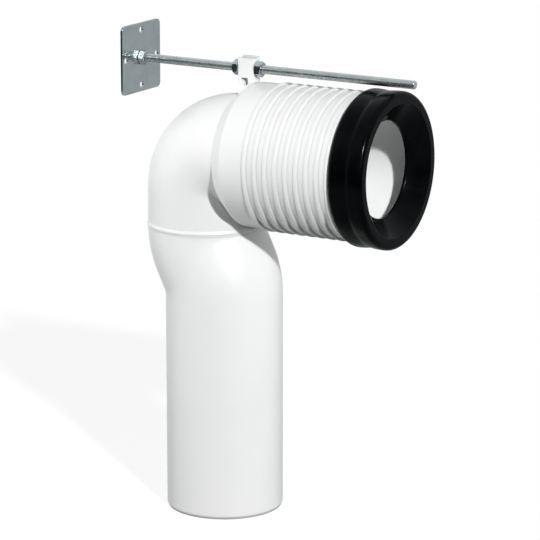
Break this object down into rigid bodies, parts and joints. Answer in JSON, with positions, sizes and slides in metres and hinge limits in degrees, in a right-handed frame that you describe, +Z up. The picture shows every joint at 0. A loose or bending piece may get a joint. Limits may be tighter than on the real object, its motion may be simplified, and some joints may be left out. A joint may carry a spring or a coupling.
{
  "type": "toilet pan connector",
  "caption": "Right-angle toilet pan connector: offset outlet leg welded to an elbow with a ribbed inlet collar, a rubber pan seal, and a threaded rod with a wall plate.",
  "frame": {"origin": "centre of the outlet spigot's end face", "axes": "+Z up along the spigot, +X along the inlet towards the toilet pan, with the wall plate on the -X side"},
  "size_m": [0.292, 0.1446, 0.4546],
  "materials": {
    "pipe_plastic": "satin",
    "seal_rubber": "satin",
    "zinc_steel": "satin"
  },
  "bodies": {
    "connector": {"inlet_elbow": "pipe_plastic", "outlet_leg": "pipe_plastic", "pan_seal": "seal_rubber"},
    "wall_bracket": {"threaded_rod": "zinc_steel", "wall_plate": "zinc_steel", "plate_nut": "zinc_steel"},
    "rear_nut": {"rear_lug_nut": "zinc_steel"},
    "front_nut": {"front_lug_nut": "zinc_steel"}
  },
  "joints": [
    {"name": "rod_adjust", "type": "slide", "parent": "connector", "child": "wall_bracket", "axis": [1, 0, 0], "range_m": [-0.15, 0.065]},
    {"name": "rear_nut_turn", "type": "hinge", "parent": "connector", "child": "rear_nut", "pos_m": [0.01575, 0, 0.4221], "axis": [1, 0, 0], "range_deg": [-18720, 43200]},
    {"name": "front_nut_turn", "type": "hinge", "parent": "connector", "child": "front_nut", "pos_m": [0.03925, 0, 0.4221], "axis": [1, 0, 0], "range_deg": [-18720, 43200]}
  ],
  "couplings": [
    {"joint": "rear_nut_turn", "follows": "rod_adjust", "rad_per_m": -5026.5},
    {"joint": "front_nut_turn", "follows": "rod_adjust", "rad_per_m": -5026.5}
  ]
}
